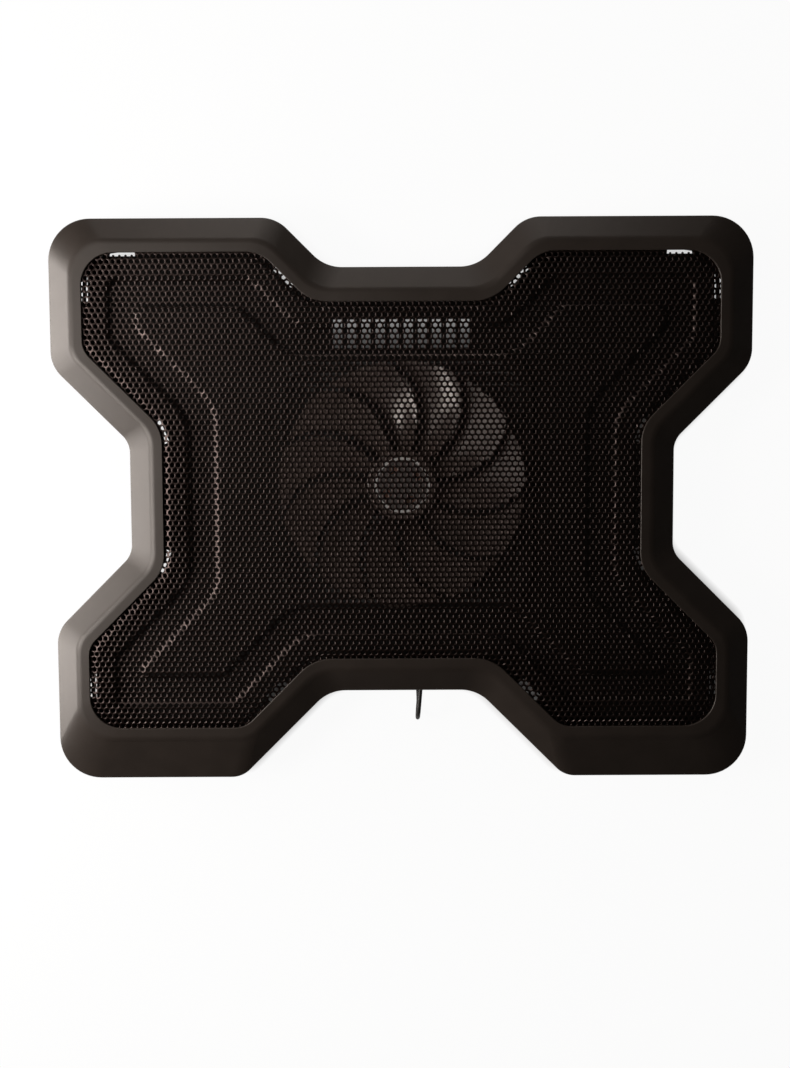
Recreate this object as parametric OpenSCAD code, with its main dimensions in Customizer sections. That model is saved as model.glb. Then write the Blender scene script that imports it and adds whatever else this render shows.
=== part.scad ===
// Laptop cooling pad: an X-shaped tray with a rim, a perforated steel deck and one large fan.
// Millimetres, +Z up, +Y to the rear. The rubber feet stand on z = 0 and the pad is centred on the origin.

/* [Outline] */
// Width across the arms
pad_w = 345; // [335:1:360]
// Depth from the front arms to the rear arms
pad_d = 278; // [272:1:292]
// Flat width of the notches in the front and rear edges
notch_flat = 74; // [66:1:80]
// Depth of the notch in the rear edge
rear_notch = 24; // [18:1:28]
// Depth of the notch in the front edge
front_notch = 44; // [40:1:46]
// Depth of the notches in the two sides
side_notch = 38; // [34:1:40]
// Flat of the side notch, forward of the middle
side_flat_front = 26; // [22:1:28]
// Flat of the side notch, behind the middle
side_flat_rear = 29.5; // [26:0.5:31]

/* [Rim] */
// Width of the rim seen from above
rim_w = 17.3; // [15.8:0.5:18.8]
// Extra width of the rim along the front arms
front_lip = 9.5; // [6:0.5:10]
// Height of the rim's crest above the steel deck
rim_rise = 1.3; // [1.2:0.05:1.6]
// Share of the rim's width at the bend between its slope and its inner band
crest_share = 0.68; // [0.66:0.01:0.7]
// Wall thickness of the mouldings
shell_t = 2.2; // [2:0.1:2.4]

/* [Tray] */
// Clear height under the tray's floor
stand_h = 9; // [9:0.5:12]
// Thickness of the tray's floor
floor_t = 2; // [1.8:0.1:2.4]
// Height of the tray's side wall above its floor
wall_h = 8; // [7.5:0.25:9]
// How far the tray's wall stands back under the rim's edge
wall_inset = 1.2; // [1.1:0.1:1.4]
// Height of the deck's top above the tray's floor
deck_h = 18.7; // [18.2:0.1:20]
// Inset of the ledge that carries the deck
ledge_inset = 13; // [12.6:0.1:13.4]
// Thickness of the ledge
ledge_t = 1.6; // [1.4:0.1:1.8]

/* [Deck] */
// Thickness of the steel sheet
deck_t = 0.8; // [0.6:0.1:1]
// Flat band between the rim and the pressed groove
groove_inset = 12; // [11:0.5:12.5]
// Width of the pressed groove
groove_w = 14; // [13:0.5:15]
// Depth of the pressed groove
groove_depth = 1.6; // [1.2:0.1:1.8]
// Pitch of the hexagonal holes as drawn, four times that of the real sheet
hole_pitch = 12; // [11:0.5:14]
// Web between two holes as drawn, four times that of the real sheet
hole_web = 2.4; // [2:0.1:3]

/* [Vents and clips] */
// Number of slots in the rear vent
vent_count = 10; // [8:1:10]
// Pitch of the vent's slots
vent_pitch = 7.1; // [6.6:0.1:7.4]
// Width of one slot
vent_slot_w = 4.6; // [3.6:0.2:5]
// Length of one slot
vent_slot_l = 14.2; // [12:0.2:15]
// Distance of the vent from the rear notch
vent_back = 31.5; // [30.5:0.5:32]
// Width of a snap arm on the rim
snap_w = 11; // [9:0.5:12]
// Thickness of a snap arm
snap_t = 1.4; // [1.2:0.1:1.6]

/* [Fan] */
// Fan centre behind the pad's middle
fan_y = 8; // [6:0.5:8.5]
// Radius of the impeller
fan_r = 61.5; // [56:0.5:61.5]
// Number of blades
blade_count = 11; // [7:1:11]
// Forward sweep of a blade from hub to tip, degrees
blade_sweep = 26; // [15:1:32]
// Gap between neighbouring blades
blade_gap = 4.6; // [4:0.2:6]
// Height from a blade's leading edge to its trailing edge
blade_rise = 7.6; // [6:0.2:8]
// Thickness of a blade
blade_t = 1.3; // [1:0.1:1.6]
// Outer radius of the hub
hub_r = 17.5; // [17.2:0.1:20]
// Radius of the fan's shaft
shaft_r = 1.5; // [1.4:0.05:1.6]

/* [Intake] */
// Side of the square intake in the floor
intake_w = 124; // [120:1:126]
// Flange of the intake grille around the opening
intake_flange = 4; // [3.5:0.25:4.5]
// Pitch of the slats
slat_pitch = 6; // [5.5:0.25:7]
// Width of one slat
slat_w = 2.6; // [2.2:0.1:3]
// Thickness of the grille
grille_t = 2; // [1.8:0.1:2.2]

/* [Feet and legs] */
// Radius of a rubber foot
foot_r = 10; // [8:0.5:11]
// Height of the rubber below its pod
foot_drop = 3; // [2.5:0.25:3.5]
// Distance of the feet from the pad's sides
foot_side = 40.5; // [38.5:0.5:43.5]
// Distance of the front feet from the front edge
foot_front_in = 47; // [45:1:53]
// Distance of the rear feet from the rear edge
foot_rear_in = 41; // [39:1:44]
// Width of a flip-out leg
leg_w = 36; // [30:1:38]
// Length of a leg from its hinge to its rubber tip
leg_l = 41; // [36:1:43]
// Thickness of a leg
leg_t = 5; // [4.6:0.1:5.4]
// Distance of the hinge from the rear edge
hinge_in = 27; // [26:0.5:29]
// Clear space between a leg and the grille's screws
leg_clear = 10.4; // [8:0.2:12]
// Radius of a hinge pin
pin_r = 1.5; // [1.3:0.05:1.6]

/* [Cord] */
// Diameter of the cord
cord_d = 2.2; // [2.2:0.05:2.4]
// Turns in one layer of the put-away coil
coil_turns = 3; // [2:1:3]
// Radius of the coil's outermost turn
coil_r = 16; // [15.5:0.25:16.5]

/* [Hidden] */
$fn = 64;
// Tangent of half a right angle's half, for moving the corners of 45 degree edges
k45 = tan(22.5);
half_w = pad_w / 2;
half_d = pad_d / 2;
foot_x = half_w - foot_side;
foot_front = half_d - foot_front_in;
foot_rear = half_d - foot_rear_in;
hinge_y = half_d - hinge_in;
arc_n = 6;
deck_n = 3;
touch = 0.02;
fit_gap = 0.06;
slide_gap = 0.3;
// Corner radii from the front notch to the rear notch, at the rim's outer and inner edge and in the groove
outer_r = [20, 13, 20.5, 17, 12, 12, 17, 20.5, 18, 20];
inner_r = [22, 13, 16, 11, 19, 19, 12, 16, 18, 21];
groove_r = [24, 5, 4, 4, 22, 22, 5, 6, 8, 24];

// Heights
z_floor = stand_h;
z_deck = z_floor + floor_t;
z_part = z_deck + wall_h;
z_mesh = z_deck + deck_h;
z_top = z_mesh + rim_rise;
z_ledge = z_mesh - deck_t;

// The rim's notches and edges at an inset, right half, front to rear
function half_corners(d, e) = [
    [notch_flat / 2 + k45 * d, -(half_d - front_notch - d)],
    [notch_flat / 2 + front_notch + k45 * d - e, -(half_d - d - e)],
    [half_w - d, -(half_d - d - e)],
    [half_w - d, -(side_flat_front + side_notch + k45 * d)],
    [half_w - side_notch - d, -(side_flat_front + k45 * d)],
    [half_w - side_notch - d, side_flat_rear + k45 * d],
    [half_w - d, side_flat_rear + side_notch + k45 * d],
    [half_w - d, half_d - d],
    [notch_flat / 2 + rear_notch + k45 * d, half_d - d],
    [notch_flat / 2 + k45 * d, half_d - rear_notch - d]
];
function both_sides(h) = concat(h, [for (i = [len(h) - 1:-1:0]) [-h[i][0], h[i][1]]]);
function twice(r) = concat(r, [for (i = [len(r) - 1:-1:0]) r[i]]);
function unit(v) = v / norm(v);

// A closed outline with each corner turned into an arc of n steps
function rounded(p, r, n = arc_n) = [
    for (i = [0:len(p) - 1])
        let (
            v = p[i],
            a = p[(i + len(p) - 1) % len(p)] - v,
            b = p[(i + 1) % len(p)] - v,
            u = unit(a),
            w = unit(b),
            h = acos(max(-1, min(1, u * w))) / 2,
            t = min(r[i] / tan(h), 0.48 * min(norm(a), norm(b))),
            q = t * tan(h),
            c = v + unit(u + w) * q / sin(h),
            s = v + u * t - c,
            f = v + w * t - c,
            a0 = atan2(s[1], s[0]),
            turn = ((atan2(f[1], f[0]) - a0 + 900) % 360) - 180
        )
        for (j = [0:n]) c + q * [cos(a0 + turn * j / n), sin(a0 + turn * j / n)]
];
// Radii change evenly from the rim's outer edge to its inner edge
function rim_radii(d) = let (s = min(1, d / rim_w)) [
    for (i = [0:len(outer_r) - 1]) outer_r[i] + (inner_r[i] - outer_r[i]) * s
];
function outline(d, e = 0, n = arc_n) = rounded(both_sides(half_corners(d, e)), twice(rim_radii(d)), n);
function groove_line(d) = rounded(both_sides(half_corners(d, front_lip)), twice(groove_r), deck_n);

// How deep a point lies inside the edges that bound the deck
function depth(x, y) = let (
    ax = abs(x),
    rear_y = half_d - rear_notch,
    front_y = half_d - front_notch,
    side_x = half_w - side_notch,
    nf = notch_flat / 2
) min(
    half_w - ax,
    half_d - y,
    half_d - front_lip + y,
    max(rear_y - y, (rear_y - nf + ax - y) / sqrt(2)),
    max(front_y + y, (front_y - nf + ax + y) / sqrt(2)),
    max(
        side_x - ax,
        (side_x - side_flat_rear - ax + y) / sqrt(2),
        (side_x - side_flat_front - ax - y) / sqrt(2)
    )
);

module band(d1, d2, e = 0) {
    difference() {
        polygon(outline(d1, e));
        polygon(outline(d2, e));
    }
}
module at_fan() {
    translate([0, fan_y, 0]) children();
}
module rounded_square(w, r) {
    h = w / 2;
    polygon(rounded([[h, -h], [h, h], [-h, h], [-h, -h]], [r, r, r, r]));
}
// Snap arms and the windows under them: [x, y, turn, reach of the window inward]
snap_inset = 10.9;
snap_h = half_corners(snap_inset, front_lip);
corner_step = 22.2;
side_step = 22.4;
rear_step = 11.4;
front_step = 15.7;
waist_out = 1.2;
waist_step = 0.5;
waist_turn = 22.5;
arm_shift = 1.9;
rear_reach = 5.7;
arm_reach = 4.7;
rear_slant_reach = 8;
waist_reach = 5.4;
front_slant_reach = 8.4;
snaps = [
    [snap_h[7][0] - corner_step, snap_h[7][1], 0, rear_reach],
    [snap_h[7][0], snap_h[7][1] - side_step, -90, arm_reach],
    [snap_h[8][0] - rear_step, snap_h[8][1] - rear_step, 45, rear_slant_reach],
    [snap_h[5][0] + waist_out, snap_h[5][1] - waist_step, -90 - waist_turn, waist_reach],
    [snap_h[4][0] + waist_out, snap_h[4][1] + waist_step, -90 + waist_turn, waist_reach],
    [snap_h[3][0], (snap_h[2][1] + snap_h[3][1]) / 2 - arm_shift, -90, arm_reach],
    [snap_h[1][0] - front_step, snap_h[1][1] + front_step, 180 - 45, front_slant_reach]
];
module at_snaps(list = snaps) {
    for (side = [0, 1])
        mirror([side, 0, 0])
            for (s = list)
                translate([s[0], s[1], 0])
                    rotate([0, 0, s[2]])
                        children();
}

// A solid ring lofted through one closed outline per profile row [inset, front extra, height]
module ring_loft(rows) {
    lines = [for (r = rows) outline(r[0], r[1])];
    n = len(lines[0]);
    m = len(rows);
    pts = [for (j = [0:m - 1]) for (i = [0:n - 1]) [lines[j][i][0], lines[j][i][1], rows[j][2]]];
    quads = [
        for (j = [0:m - 1])
            for (i = [0:n - 1])
                let (i2 = (i + 1) % n, j2 = (j + 1) % m)
                    [j * n + i, j2 * n + i, j2 * n + i2, j * n + i2]
    ];
    tris = [for (q = quads) for (t = [[q[0], q[1], q[2]], [q[0], q[2], q[3]]]) t];
    polyhedron(pts, tris);
}

// A tube swept along points, with one ring of corners at each point
module tube(p, r, sides, up) {
    n = len(p);
    rings = [
        for (i = [0:n - 1])
            let (
                t = unit(p[min(i + 1, n - 1)] - p[max(i - 1, 0)]),
                a = unit(cross(t, up)),
                b = cross(t, a)
            )
            for (j = [0:sides - 1]) p[i] + r * (a * cos(360 * j / sides) + b * sin(360 * j / sides))
    ];
    skin = [
        for (i = [0:n - 2])
            for (j = [0:sides - 1])
                let (
                    j2 = (j + 1) % sides,
                    q = [i * sides + j, (i + 1) * sides + j, (i + 1) * sides + j2, i * sides + j2]
                )
                for (f = [[q[0], q[1], q[2]], [q[0], q[2], q[3]]]) f
    ];
    caps = concat(
        [for (j = [1:sides - 2]) [0, j, j + 1]],
        [for (j = [1:sides - 2]) [(n - 1) * sides, (n - 1) * sides + j + 1, (n - 1) * sides + j]]
    );
    polyhedron(rings, concat(skin, caps));
}

// Tray
snap_room = 1;
window_out = 1.1;
intake_corner = 18;
module snap_windows() {
    for (s = snaps)
        at_snaps([s])
            translate([-snap_w / 2 - snap_room, -s[3]])
                square([snap_w + 2 * snap_room, s[3] + window_out]);
}
module floor_holes() {
    snap_windows();
    // Rear vent
    for (i = [0:vent_count - 1])
        translate([(i - (vent_count - 1) / 2) * vent_pitch, half_d - rear_notch - vent_back])
            square([vent_slot_w, vent_slot_l], center = true);
    // Intake
    translate([0, fan_y])
        rounded_square(intake_w, intake_corner);
}
ear_t = 4;
ear_gap = 0.4;
ear_r = 3.4;
leg_room = 0.5;
hinge_z = z_floor - leg_room - leg_t / 2;
pod_wall = 3;
pod_r = foot_r + pod_wall;
pod_z = foot_drop;
foot_seat = 1;
screw_inset = 3.6;
grille_screw = intake_w / 2 - screw_inset;
boss_r = 3.2;
leg_x = grille_screw + boss_r + leg_clear + leg_w / 2;
boss_drop = 4;
pilot_r = 1.1;
pilot_drop = 3;
tongue_h = 3;
grommet_x = 9;
grommet_z = z_deck + wall_h / 2;
grommet_r = 2.6;
wall_y = -(half_d - front_notch - wall_inset);
module leg_ears(side) {
    for (s = [-1, 1])
        translate([side * leg_x + s * (leg_w / 2 + ear_gap + ear_t / 2), hinge_y, hinge_z])
            union() {
                rotate([0, 90, 0])
                    cylinder(r = ear_r, h = ear_t, center = true);
                translate([-ear_t / 2, -ear_r, 0])
                    cube([ear_t, 2 * ear_r, z_floor - hinge_z + floor_t / 2]);
            }
}
module base_tray() {
    color("#1d1d1e")
        difference() {
            union() {
                translate([0, 0, z_floor])
                    linear_extrude(floor_t)
                        difference() {
                            polygon(outline(wall_inset));
                            floor_holes();
                        }
                // Outer wall with its tongue, and the ledge for the deck
                translate([0, 0, z_floor])
                    linear_extrude(floor_t + wall_h)
                        band(wall_inset, wall_inset + shell_t);
                translate([0, 0, z_floor])
                    linear_extrude(floor_t + wall_h + tongue_h)
                        band(shell_t + slide_gap, wall_inset + shell_t);
                translate([0, 0, z_floor + floor_t / 2])
                    linear_extrude(z_ledge - z_floor - floor_t / 2)
                        band(ledge_inset, ledge_inset + ledge_t, front_lip);
                // Pods over the rubber feet
                for (sx = [-1, 1])
                    for (y = [-foot_front, foot_rear])
                        translate([sx * foot_x, y, pod_z])
                            cylinder(r = pod_r, h = z_floor - pod_z + floor_t / 2);
                // Bosses under the grille's screws
                at_fan()
                    for (sx = [-1, 1])
                        for (sy = [-1, 1])
                            translate([sx * grille_screw, sy * grille_screw, z_floor - boss_drop])
                                cylinder(r = boss_r, h = boss_drop + floor_t);
                for (side = [-1, 1])
                    leg_ears(side);
            }
            // Seats of the feet
            for (sx = [-1, 1])
                for (y = [-foot_front, foot_rear])
                    translate([sx * foot_x, y, pod_z - 1])
                        cylinder(r = foot_r + fit_gap, h = 1 + foot_seat);
            // Pilot holes for the grille's screws
            at_fan()
                for (sx = [-1, 1])
                    for (sy = [-1, 1])
                        translate([sx * grille_screw, sy * grille_screw, z_floor - pilot_drop])
                            cylinder(r = pilot_r, h = pilot_drop + floor_t + 1);
            // Hinge bores
            for (side = [-1, 1])
                translate([side * leg_x, hinge_y, hinge_z])
                    rotate([0, 90, 0])
                        cylinder(r = pin_r + touch, h = leg_w + 4 * ear_t, center = true);
            // Gaps in the ledge over the windows, and the lead's way through it
            translate([0, 0, z_deck])
                linear_extrude(z_mesh - z_deck)
                    snap_windows();
            translate([grommet_x - lead_d, -(half_d - front_notch - ledge_inset) - 1, z_deck])
                cube([2 * lead_d, ledge_t + 2, 2 * lead_d]);
            // Hole for the cord's grommet
            translate([grommet_x, wall_y - 1, grommet_z])
                rotate([-90, 0, 0])
                    cylinder(r = grommet_r + touch, h = shell_t + 2);
        }
}

// Rim, with the snap arms that hold it to the tray
// The slope bends into the inner band, which climbs on gently to the crest at the lip
crest_half = 0.1;
crest_from = crest_share - crest_half;
crest_to = crest_share + crest_half;
slope_drop = 1.5;
bend_drop = 0.75;
band_drop = 0.4;
// The front arms get their extra width in the outer slope
lip_start = 0.25;
function extra(s) = front_lip * min(1, max(0, (s - lip_start) / (crest_from - lip_start)));
function rim_row(s, z) = [s * rim_w, extra(s), z];
shoulder_drop = 6.9;
shoulder = z_top - shoulder_drop;
edge_share = 0.03;
edge_rise = 0.5;
lip_share = 0.97;
lip_round = 0.5;
under_share = 0.4;
under_rise = 1.4;
under_drop = 0.6;
wall_s = shell_t / rim_w;
land_inset = ledge_inset - slide_gap;
// Share of the rim's width and height, up the outside, over the crest and back under it
rim_rows = [
    rim_row(0, z_part),
    rim_row(0, shoulder),
    rim_row(edge_share, shoulder + edge_rise),
    rim_row(crest_from, z_top - slope_drop),
    rim_row(crest_share, z_top - bend_drop),
    rim_row(crest_to, z_top - band_drop),
    rim_row(lip_share, z_top),
    rim_row(1, z_top - lip_round),
    rim_row(1, z_mesh),
    [land_inset, front_lip, z_mesh],
    rim_row(crest_share, z_top - shell_t),
    rim_row(under_share, shoulder + under_rise),
    rim_row(wall_s, shoulder - under_drop),
    rim_row(wall_s, z_part)
];
snap_below = 1.5;
barb = 1;
barb_h = 0.8;
module rim() {
    color("#242425")
        union() {
            ring_loft(rim_rows);
            at_snaps()
                union() {
                    translate([-snap_w / 2, -snap_t / 2, z_floor - snap_below])
                        cube([snap_w, snap_t, z_top - shell_t - z_floor + snap_below]);
                    hull() {
                        translate([-snap_w / 2, -snap_t / 2, z_floor - snap_below])
                            cube([snap_w, snap_t, barb_h]);
                        translate([-snap_w / 2, -snap_t / 2, z_floor - barb])
                            cube([snap_w, snap_t + barb, barb_h]);
                    }
                }
        }
}

// Perforated steel deck with its pressed groove
deck_room = 0.4;
deck_edge = ledge_inset + deck_room;
groove_d1 = rim_w + groove_inset;
groove_d2 = groove_d1 + groove_w;
hole_r = (hole_pitch - hole_web) / sqrt(3);
// How far outside its band the middle of a cut-off hole may lie, and the land along a crease
hole_reach = 1.5;
hole_land = 0.6;
lip_land = 1.2;
// Notch in the deck's rear edge over each rear window, from the arm's corner and inward
notch_step = 26.8;
cut_in = 8.1;
row_pitch = hole_pitch * sqrt(3) / 2;
function hole_places(lo, hi) = [
    for (j = [-ceil(half_d / row_pitch):ceil(half_d / row_pitch)])
        for (i = [-ceil(half_w / hole_pitch):ceil(half_w / hole_pitch)])
            let (
                x = (i + (j % 2 == 0 ? 0 : 0.5)) * hole_pitch,
                y = j * row_pitch,
                d = depth(x, y)
            )
            if (d > lo - hole_reach && d < hi + hole_reach) [x, y]
];
// Holes of a band, cut off where they cross the edge of the area given as a child
module holes(lo, hi) {
    intersection() {
        children();
        for (p = hole_places(lo, hi))
            translate(p)
                rotate(30)
                    circle(r = hole_r, $fn = 6);
    }
}
module mesh_panel() {
    color("#161617")
        union() {
            translate([0, 0, z_ledge])
                linear_extrude(deck_t)
                    difference() {
                        polygon(outline(deck_edge, front_lip, deck_n));
                        polygon(groove_line(groove_d1 + deck_t));
                        at_snaps([[snap_h[7][0] - notch_step, snap_h[7][1], 0, rear_reach]])
                            translate([-snap_w / 2 - snap_room, -cut_in])
                                square([snap_w + 2 * snap_room, cut_in]);
                        holes(rim_w + lip_land, groove_d1)
                            difference() {
                                polygon(outline(rim_w + lip_land, front_lip, deck_n));
                                polygon(groove_line(groove_d1 - hole_land));
                            }
                    }
            translate([0, 0, z_ledge - groove_depth])
                linear_extrude(groove_depth + deck_t)
                    difference() {
                        polygon(groove_line(groove_d1));
                        polygon(groove_line(groove_d1 + deck_t));
                    }
            translate([0, 0, z_ledge - groove_depth])
                linear_extrude(deck_t)
                    difference() {
                        polygon(groove_line(groove_d1));
                        polygon(groove_line(groove_d2));
                        holes(groove_d1 + deck_t, groove_d2 - deck_t)
                            difference() {
                                polygon(groove_line(groove_d1 + deck_t + hole_land));
                                polygon(groove_line(groove_d2 - deck_t - hole_land));
                            }
                    }
            translate([0, 0, z_ledge - groove_depth])
                linear_extrude(groove_depth + deck_t)
                    difference() {
                        polygon(groove_line(groove_d2 - deck_t));
                        polygon(groove_line(groove_d2));
                    }
            translate([0, 0, z_ledge])
                linear_extrude(deck_t)
                    difference() {
                        polygon(groove_line(groove_d2 - deck_t));
                        holes(groove_d2, half_w)
                            polygon(groove_line(groove_d2 + hole_land));
                    }
        }
}

// Intake grille with the fan's seat
z_grille = z_deck;
seat_r = 19;
tube_r = 4;
lead_d = 1.6;
lead_room = 0.15;
channel_w = lead_d + 2 * lead_room;
rib_w = 5;
slat_edge = 1;
slat_count = ceil(intake_w / slat_pitch);
screw_pad = 4.4;
screw_hole = 1.5;
under_gap = 0.4;
rib_in = 2;
channel_end = 9.8;
module intake_grille() {
    color("#202021")
        at_fan()
            difference() {
                union() {
                    translate([0, 0, z_grille])
                        linear_extrude(grille_t)
                            difference() {
                                rounded_square(intake_w + 2 * intake_flange, intake_corner + intake_flange);
                                difference() {
                                    intersection() {
                                        rounded_square(intake_w - 2 * slat_edge, intake_corner - slat_edge);
                                        for (i = [-slat_count:slat_count])
                                            translate([0, i * slat_pitch])
                                                square([intake_w, slat_pitch - slat_w], center = true);
                                    }
                                    circle(r = seat_r);
                                    for (x = [-intake_w / 3, 0, intake_w / 3])
                                        translate([x, 0])
                                            square([slat_w, intake_w], center = true);
                                    for (sx = [-1, 1])
                                        for (sy = [-1, 1])
                                            translate([sx * grille_screw, sy * grille_screw])
                                                circle(r = screw_pad);
                                    translate([grommet_x - rib_w / 2, -intake_w / 2])
                                        square([rib_w, intake_w / 2]);
                                }
                            }
                    // Rib that carries the lead, and the seat's underside
                    translate([grommet_x - rib_w / 2, -intake_w / 2 + rib_in, z_floor + under_gap])
                        cube([rib_w, intake_w / 2 - rib_in - channel_end, z_grille - z_floor]);
                    translate([0, 0, z_floor + under_gap])
                        cylinder(r = seat_r - 1, h = z_grille - z_floor);
                }
                // Channel for the lead
                translate([grommet_x - channel_w / 2, -intake_w, z_grille + grille_t - channel_w])
                    cube([channel_w, intake_w - channel_end, lead_d + 2]);
                // Bore for the bearing tube and holes for the screws
                translate([0, 0, z_floor])
                    cylinder(r = tube_r + touch, h = 20);
                for (sx = [-1, 1])
                    for (sy = [-1, 1])
                        translate([sx * grille_screw, sy * grille_screw, z_floor])
                            cylinder(r = screw_hole, h = 20);
            }
}
screw_head_h = 1.6;
screw_head_r = 2.5;
screw_r = 1.05;
screw_drop = 2.4;
screw_l = z_grille + grille_t - z_floor + screw_drop + 0.1;
cross_l = 3.2;
cross_w = 0.6;
module grille_screws() {
    color("#77787a")
        at_fan()
            for (sx = [-1, 1])
                for (sy = [-1, 1])
                    translate([sx * grille_screw, sy * grille_screw, 0])
                        difference() {
                            union() {
                                translate([0, 0, z_grille + grille_t])
                                    cylinder(r = screw_head_r, h = screw_head_h);
                                translate([0, 0, z_floor - screw_drop])
                                    cylinder(r = screw_r, h = screw_l);
                            }
                            for (a = [0, 90])
                                translate([0, 0, z_grille + grille_t + screw_head_h])
                                    rotate([0, 0, a])
                                        cube([cross_l, cross_w, screw_head_h], center = true);
                        }
}

// Motor, from the tray upward
z_seat = z_grille + grille_t;
flange_h = 0.6;
z_board = z_seat + flange_h;
board_t = 1;
z_core = z_board + board_t + 1;
core_h = 4;
z_yoke = z_core + core_h + 3.6;
yoke_t = 1;
yoke_r = hub_r - 2;
magnet_r = yoke_r - yoke_t;
magnet_t = 1.6;
core_r = magnet_r - magnet_t - 0.6;
sleeve_r = tube_r - 1;
coil_ring = 8.6;
coil_angle = 30;
module bearing_tube() {
    color("#c9b27a")
        at_fan()
            difference() {
                union() {
                    translate([0, 0, z_floor + 1])
                        cylinder(r = tube_r, h = z_core + core_h + 1 - z_floor);
                    translate([0, 0, z_seat])
                        cylinder(r = tube_r + 2, h = flange_h);
                }
                translate([0, 0, z_floor + 2])
                    cylinder(r = sleeve_r + touch, h = 40);
            }
}
z_sleeve = z_floor + 4.2;
sleeve_h = z_core + core_h + 1.6 - z_sleeve;
module bearing_sleeve() {
    color("#b08d4a")
        at_fan()
            translate([0, 0, z_sleeve])
                difference() {
                    cylinder(r = sleeve_r, h = sleeve_h);
                    translate([0, 0, -1])
                        cylinder(r = shaft_r + fit_gap, h = sleeve_h + 2);
                }
}
module motor_board() {
    color("#27553a")
        at_fan()
            translate([0, 0, z_board])
                difference() {
                    cylinder(r = core_r + 1, h = board_t);
                    translate([0, 0, -1])
                        cylinder(r = tube_r + 0.1, h = board_t + 2);
                }
}
pole_w = 3;
module stator_core() {
    color("#8c8f93")
        at_fan()
            rotate([0, 0, coil_angle])
                translate([0, 0, z_core])
                    linear_extrude(core_h)
                        difference() {
                            union() {
                                circle(r = tube_r + 2.6);
                                intersection() {
                                    union() {
                                        square([2 * core_r, pole_w], center = true);
                                        square([pole_w, 2 * core_r], center = true);
                                    }
                                    circle(r = core_r);
                                }
                                difference() {
                                    circle(r = core_r);
                                    circle(r = core_r - 1.4);
                                    for (a = [45, 135])
                                        rotate(a)
                                            square([2 * core_r + 2, 5], center = true);
                                }
                            }
                            circle(r = tube_r + 1.2 + touch);
                        }
}
module stator_bobbin() {
    color("#d8d3c4")
        at_fan()
            difference() {
                translate([0, 0, z_board + board_t])
                    cylinder(r = tube_r + 1.2, h = core_h + 1.8);
                translate([0, 0, z_board])
                    cylinder(r = tube_r + touch, h = core_h + 6);
            }
}
coil_in = tube_r + 2.9;
coil_out = core_r - 1.85;
module stator_coils() {
    color("#b5652f")
        at_fan()
            for (a = [0:90:270])
                rotate([0, 0, coil_angle + a])
                    difference() {
                        translate([coil_in, -pole_w / 2 - 1.3, z_core - 0.7])
                            cube([coil_out - coil_in, pole_w + 2.6, core_h + 1.4]);
                        translate([coil_in - 1, -pole_w / 2 - touch, z_core - touch])
                            cube([coil_out - coil_in + 2, pole_w + 2 * touch, core_h + 2 * touch]);
                    }
}
module fan_shaft() {
    color("#b9bcc0")
        at_fan()
            difference() {
                translate([0, 0, z_sleeve - 1.4])
                    cylinder(r = shaft_r, h = z_yoke + yoke_t - z_sleeve + 1.4);
                translate([0, 0, z_sleeve - 0.9])
                    difference() {
                        cylinder(r = shaft_r + 1, h = 0.5);
                        translate([0, 0, -1])
                            cylinder(r = shaft_r - 0.35, h = 3);
                    }
            }
}
module shaft_clip() {
    color("#d9d9d6")
        at_fan()
            translate([0, 0, z_sleeve - 0.85])
                difference() {
                    cylinder(r = shaft_r + 0.9, h = 0.4);
                    translate([0, 0, -1])
                        cylinder(r = shaft_r - 0.35 + touch, h = 3);
                }
}
window_r = 2.3;
module yoke_windows(h) {
    for (a = [0:90:270])
        rotate([0, 0, coil_angle + a])
            translate([coil_ring, 0, 0])
                cylinder(r = window_r, h = h);
}
module rotor_yoke() {
    color("#c4c6c8")
        at_fan()
            difference() {
                translate([0, 0, z_core - 0.6])
                    cylinder(r = yoke_r, h = z_yoke + yoke_t - z_core + 0.6);
                translate([0, 0, z_core - 1])
                    cylinder(r = yoke_r - yoke_t, h = z_yoke - z_core + 1);
                translate([0, 0, z_core])
                    cylinder(r = shaft_r + touch, h = 20);
                translate([0, 0, z_core])
                    yoke_windows(20);
            }
}
module rotor_magnet() {
    color("#3a3a3c")
        at_fan()
            translate([0, 0, z_core - 0.4])
                difference() {
                    cylinder(r = magnet_r - touch, h = z_yoke - z_core);
                    translate([0, 0, -1])
                        cylinder(r = magnet_r - magnet_t, h = 20);
                }
}
module hub_label() {
    color("#3b3a39")
        at_fan()
            difference() {
                translate([0, 0, z_yoke + yoke_t])
                    cylinder(r = yoke_r - 3.1, h = 0.4);
                translate([0, 0, z_yoke])
                    yoke_windows(5);
            }
}

// Impeller
blade_pitch = 360 / blade_count;
gap_start = 4;
blade_top = z_yoke + yoke_t - 1.4;
radial_n = 7;
chord_n = 5;
hub_skirt = 0.3;
hub_over = 1.8;
hub_lip = 1.7;
blade_root = 0.8;
blade_bow = 0.12;
function blade_s(i) = i / radial_n;
function blade_radius(i) = hub_r - blade_root + (fan_r - hub_r + blade_root) * blade_s(i);
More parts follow.
